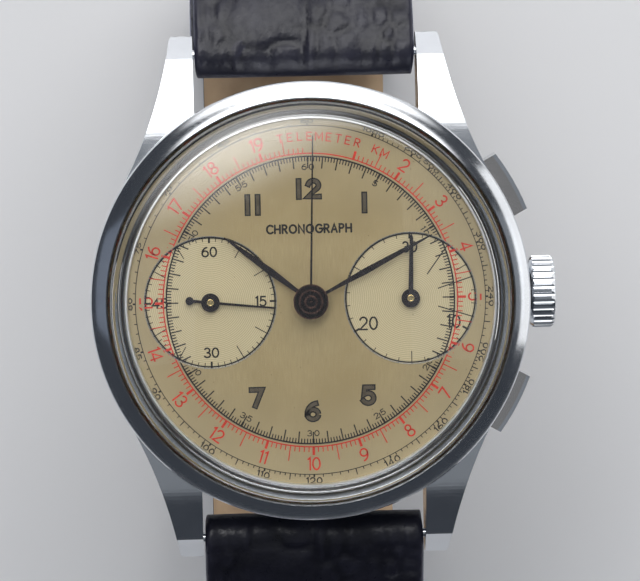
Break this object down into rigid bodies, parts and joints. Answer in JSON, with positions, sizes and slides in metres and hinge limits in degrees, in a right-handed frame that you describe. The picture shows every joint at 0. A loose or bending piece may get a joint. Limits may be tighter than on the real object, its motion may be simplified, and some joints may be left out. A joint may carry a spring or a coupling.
{
  "type": "chronograph wristwatch",
  "caption": "Hand-wound two-register chronograph wristwatch with a round case, domed crystal, crown, rectangular pushers and a buckled leather strap.",
  "frame": {"origin": "on the case axis, on the flat outer face of the case back", "axes": "+Z out of the dial, +Y towards 12 o'clock, +X towards the crown at 3 o'clock"},
  "size_m": [0.0377, 0.0639, 0.0593],
  "materials": {
    "polished_steel": "polished stainless steel, with fine scratches",
    "movement_steel": "fine-grained hardened steel",
    "gilt_plate": "gilt brass with a fine circular grain",
    "wheel_brass": "polished brass",
    "black_hands": "black lacquer",
    "blued_steel": "heat-blued steel",
    "gasket": "soft black rubber",
    "black_leather": "black grained leather with a soft sheen",
    "dial_face": "aged cream, fine vertical grain",
    "acrylic": "clear domed acrylic",
    "ruby": "polished synthetic ruby"
  },
  "bodies": {
    "case": {"case_middle": "polished_steel", "bezel": "polished_steel", "crystal": "acrylic", "tension_ring": "polished_steel", "case_back_gasket": "gasket", "movement_ring": "polished_steel", "crown_tube": "polished_steel", "crown_gasket": "gasket", "pusher_tubes": "polished_steel", "spring_bars": "polished_steel", "dial": "dial_face", "main_plate": "gilt_plate", "barrel_bridge": "gilt_plate", "train_bridge": "gilt_plate", "chronograph_bridge": "gilt_plate", "balance_cock": "gilt_plate", "bridge_screws": "blued_steel", "jewels": "ruby", "pusher_springs": "movement_steel", "strap_12": "black_leather", "strap_6": "black_leather", "fixed_keeper": "black_leather", "buckle_frame": "polished_steel"},
    "case_back": {"case_back": "polished_steel"},
    "minute_works": {"cannon_pinion": "movement_steel", "minute_hand": "black_hands"},
    "minute_wheel": {"minute_wheel": "wheel_brass"},
    "hour_works": {"hour_wheel": "wheel_brass", "hour_hand": "black_hands"},
    "seconds_works": {"fourth_wheel": "wheel_brass", "small_seconds_hand": "black_hands"},
    "third_wheel": {"third_wheel": "wheel_brass"},
    "centre_wheel": {"centre_wheel": "wheel_brass"},
    "barrel": {"barrel": "wheel_brass", "mainspring": "movement_steel"},
    "escape_wheel": {"escape_wheel": "movement_steel"},
    "coupling_lever": {"coupling_lever": "movement_steel"},
    "coupling_wheel": {"coupling_wheel": "wheel_brass"},
    "chrono_works": {"chrono_runner": "wheel_brass", "chrono_seconds_hand": "black_hands"},
    "transfer_wheel": {"transfer_wheel": "wheel_brass"},
    "counter_works": {"minute_counter_wheel": "wheel_brass", "minute_counter_hand": "black_hands"},
    "keyless": {"winding_pinion": "movement_steel", "sliding_pinion": "movement_steel"},
    "crown": {"crown": "polished_steel", "winding_stem": "movement_steel"},
    "crown_wheel": {"crown_wheel": "movement_steel"},
    "ratchet_wheel": {"ratchet_wheel": "movement_steel"},
    "click": {"click": "movement_steel"},
    "start_pusher": {"start_pusher": "polished_steel"},
    "operating_lever": {"operating_lever": "movement_steel"},
    "column_wheel": {"column_wheel": "movement_steel"},
    "reset_pusher": {"reset_pusher": "polished_steel"},
    "reset_hammer": {"reset_hammer": "movement_steel"},
    "pallet_fork": {"pallet_fork": "movement_steel"},
    "balance": {"balance_wheel": "wheel_brass", "hairspring": "blued_steel"},
    "buckle_tongue": {"buckle_tongue": "polished_steel"},
    "free_keeper": {"free_keeper": "black_leather"}
  },
  "joints": [
    {"name": "minute_hand_turn", "type": "hinge", "parent": "case", "child": "minute_works", "pos_m": [0, 0, 0], "axis": [0, 0, -1], "continuous": true},
    {"name": "minute_wheel_turn", "type": "hinge", "parent": "case", "child": "minute_wheel", "pos_m": [0.00192, -0.00333, 0], "axis": [0, 0, -1], "continuous": true},
    {"name": "hour_hand_turn", "type": "hinge", "parent": "case", "child": "hour_works", "pos_m": [0, 0, 0], "axis": [0, 0, -1], "continuous": true},
    {"name": "small_seconds_turn", "type": "hinge", "parent": "case", "child": "seconds_works", "pos_m": [-0.00803, 0, 0], "axis": [0, 0, -1], "continuous": true},
    {"name": "third_wheel_turn", "type": "hinge", "parent": "case", "child": "third_wheel", "pos_m": [-0.00417, -0.00223, 0], "axis": [0, 0, -1], "continuous": true},
    {"name": "centre_wheel_turn", "type": "hinge", "parent": "case", "child": "centre_wheel", "pos_m": [0, 0, 0], "axis": [0, 0, -1], "continuous": true},
    {"name": "barrel_turn", "type": "hinge", "parent": "case", "child": "barrel", "pos_m": [0.00399, 0.00476, 0], "axis": [0, 0, -1], "continuous": true},
    {"name": "escape_wheel_turn", "type": "hinge", "parent": "case", "child": "escape_wheel", "pos_m": [-0.00938, -0.00372, 0], "axis": [0, 0, -1], "continuous": true},
    {"name": "coupling_lever_swing", "type": "hinge", "parent": "case", "child": "coupling_lever", "pos_m": [-0.00803, 0, 0], "axis": [0, 0, 1], "range_deg": [-9.26, 0]},
    {"name": "coupling_wheel_turn", "type": "hinge", "parent": "coupling_lever", "child": "coupling_wheel", "pos_m": [-0.00471, 0.00116, 0], "axis": [0, 0, -1], "continuous": true},
    {"name": "chrono_seconds_turn", "type": "hinge", "parent": "case", "child": "chrono_works", "pos_m": [0, 0, 0], "axis": [0, 0, -1], "continuous": true},
    {"name": "transfer_wheel_turn", "type": "hinge", "parent": "case", "child": "transfer_wheel", "pos_m": [0.00461, -0.00113, 0], "axis": [0, 0, -1], "continuous": true},
    {"name": "minute_counter_turn", "type": "hinge", "parent": "case", "child": "counter_works", "pos_m": [0.00803, 0, 0], "axis": [0, 0, -1], "continuous": true},
    {"name": "crown_turn", "type": "hinge", "parent": "case", "child": "keyless", "pos_m": [0, 0, 0.0043], "axis": [1, 0, 0], "continuous": true},
    {"name": "crown_pull", "type": "slide", "parent": "keyless", "child": "crown", "axis": [1, 0, 0], "range_m": [0, 0.0009]},
    {"name": "crown_wheel_turn", "type": "hinge", "parent": "case", "child": "crown_wheel", "pos_m": [0.01061, 0.00193, 0], "axis": [0, 0, -1], "continuous": true},
    {"name": "ratchet_wheel_turn", "type": "hinge", "parent": "case", "child": "ratchet_wheel", "pos_m": [0.00399, 0.00476, 0], "axis": [0, 0, -1], "continuous": true},
    {"name": "click_swing", "type": "hinge", "parent": "case", "child": "click", "pos_m": [0.00562, 0.01084, 0], "axis": [0, 0, 1], "range_deg": [0, 12], "stiffness_Nm_per_rad": 0.000002},
    {"name": "start_pusher_press", "type": "slide", "parent": "case", "child": "start_pusher", "axis": [-0.8763, -0.4818, 0], "range_m": [0, 0.0008], "stiffness_N_per_m": 400, "deforming": ["pusher_springs"]},
    {"name": "operating_lever_swing", "type": "hinge", "parent": "case", "child": "operating_lever", "pos_m": [0.0098, 0.0089, 0], "axis": [0, 0, 1], "range_deg": [-15.04, 0]},
    {"name": "column_wheel_turn", "type": "hinge", "parent": "case", "child": "column_wheel", "pos_m": [0.0032, 0.0112, 0], "axis": [0, 0, 1], "range_deg": [0, 30.3]},
    {"name": "reset_pusher_press", "type": "slide", "parent": "case", "child": "reset_pusher", "axis": [-0.8763, 0.4818, 0], "range_m": [0, 0.0008], "stiffness_N_per_m": 400, "deforming": ["pusher_springs"]},
    {"name": "reset_hammer_swing", "type": "hinge", "parent": "case", "child": "reset_hammer", "pos_m": [0.0012, -0.0105, 0], "axis": [0, 0, 1], "range_deg": [0, 5.37]},
    {"name": "pallet_fork_swing", "type": "hinge", "parent": "case", "child": "pallet_fork", "pos_m": [-0.00726, -0.00598, 0], "axis": [0, 0, 1], "range_deg": [-5, 5]},
    {"name": "balance_swing", "type": "hinge", "parent": "case", "child": "balance", "pos_m": [-0.0046, -0.0088, 0], "axis": [0, 0, 1], "range_deg": [-270, 270], "stiffness_Nm_per_rad": 0.0000003, "deforming": ["hairspring"]},
    {"name": "case_back_lift_off", "type": "slide", "parent": "case", "child": "case_back", "axis": [0, 0, -1], "range_m": [0, 0.012]},
    {"name": "buckle_tongue_turn", "type": "hinge", "parent": "case", "child": "buckle_tongue", "pos_m": [0, 0, -0.04185], "axis": [1, 0, 0], "range_deg": [0, 18]},
    {"name": "free_keeper_move", "type": "hinge", "parent": "case", "child": "free_keeper", "pos_m": [0, 0.01332, -0.02485], "axis": [1, 0, 0], "range_deg": [-13, 32]}
  ],
  "couplings": [
    {"joint": "minute_wheel_turn", "follows": "minute_hand_turn", "ratio": -0.33333},
    {"joint": "hour_hand_turn", "follows": "minute_hand_turn", "ratio": 0.083333},
    {"joint": "third_wheel_turn", "follows": "small_seconds_turn", "ratio": -0.13333},
    {"joint": "centre_wheel_turn", "follows": "small_seconds_turn", "ratio": 0.016667},
    {"joint": "barrel_turn", "follows": "small_seconds_turn", "ratio": -0.0025641},
    {"joint": "escape_wheel_turn", "follows": "small_seconds_turn", "ratio": -10},
    {"joint": "coupling_wheel_turn", "follows": "small_seconds_turn", "ratio": -1.2},
    {"joint": "transfer_wheel_turn", "follows": "chrono_seconds_turn", "ratio": -0.066667},
    {"joint": "minute_counter_turn", "follows": "chrono_seconds_turn", "ratio": 0.033333},
    {"joint": "crown_wheel_turn", "follows": "crown_turn", "ratio": -0.6},
    {"joint": "ratchet_wheel_turn", "follows": "crown_turn", "ratio": 0.31915},
    {"joint": "operating_lever_swing", "follows": "start_pusher_press", "rad_per_m": -324.9},
    {"joint": "column_wheel_turn", "follows": "start_pusher_press", "rad_per_m": 654.5},
    {"joint": "coupling_lever_swing", "follows": "start_pusher_press", "rad_per_m": -200},
    {"joint": "reset_hammer_swing", "follows": "reset_pusher_press", "rad_per_m": 116}
  ]
}
